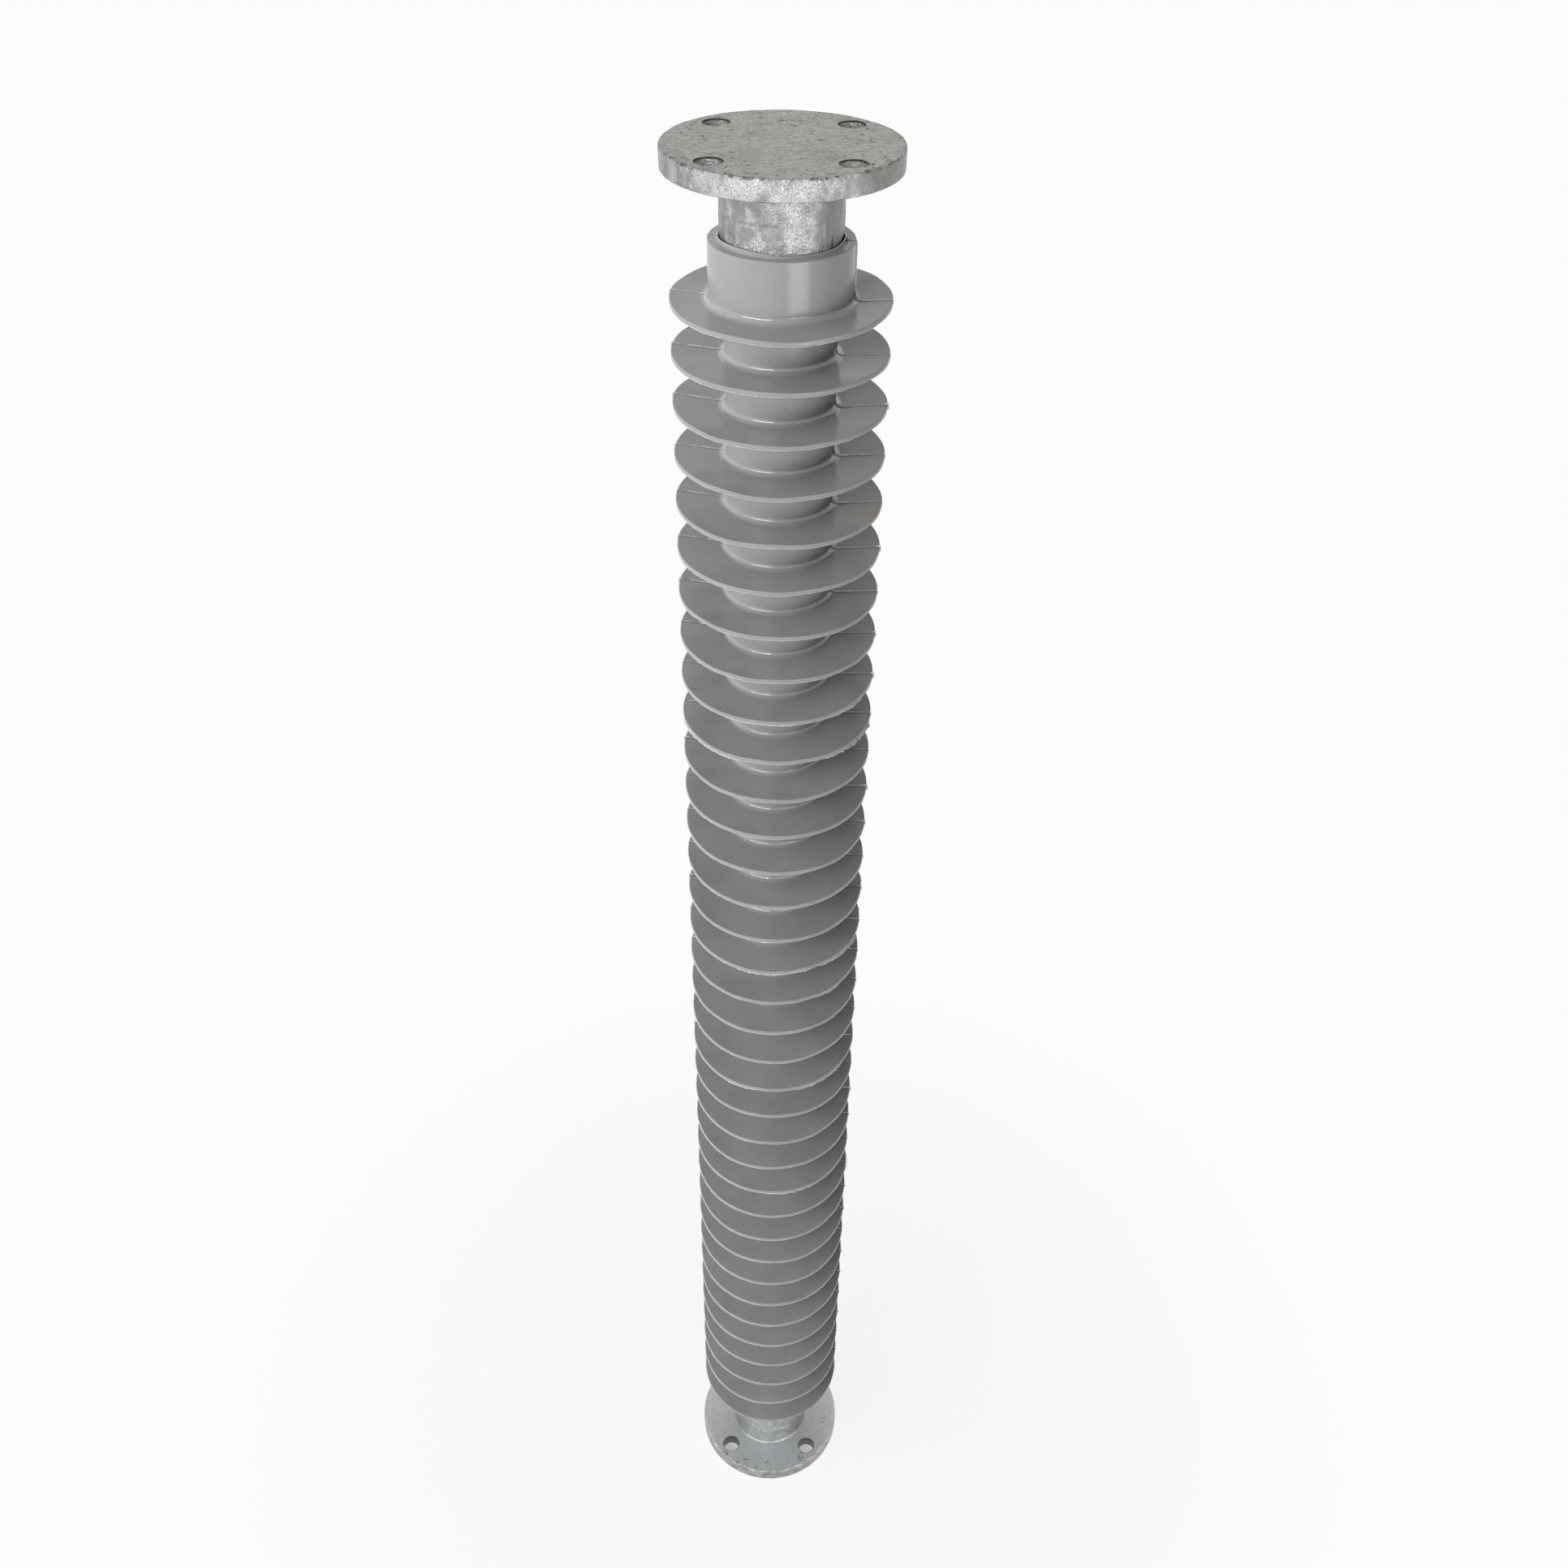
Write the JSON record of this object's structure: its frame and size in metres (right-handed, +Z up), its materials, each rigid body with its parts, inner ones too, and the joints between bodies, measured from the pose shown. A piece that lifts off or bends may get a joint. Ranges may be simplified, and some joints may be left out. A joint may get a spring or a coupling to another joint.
{
  "type": "composite station post insulator",
  "caption": "Grey silicone-rubber station post insulator with equal sheds and a flanged, bolt-on steel end fitting at each end.",
  "frame": {"origin": "centre of the lower flange's bottom face", "axes": "+Z up the insulator's axis from the lower flange to the upper one; the bolt holes lie midway between X and Y"},
  "size_m": [0.16, 0.16, 1.5],
  "materials": {
    "silicone_rubber": "moulded, semi-gloss mid grey",
    "galvanised_steel": "hot-dip zinc, spangled and slightly rough",
    "glass_fibre_rod": "pultruded epoxy and glass fibre, hidden"
  },
  "bodies": {
    "root": {"core_rod": "glass_fibre_rod", "housing": "silicone_rubber", "top_fitting": "galvanised_steel", "bottom_fitting": "galvanised_steel"}
  },
  "joints": []
}
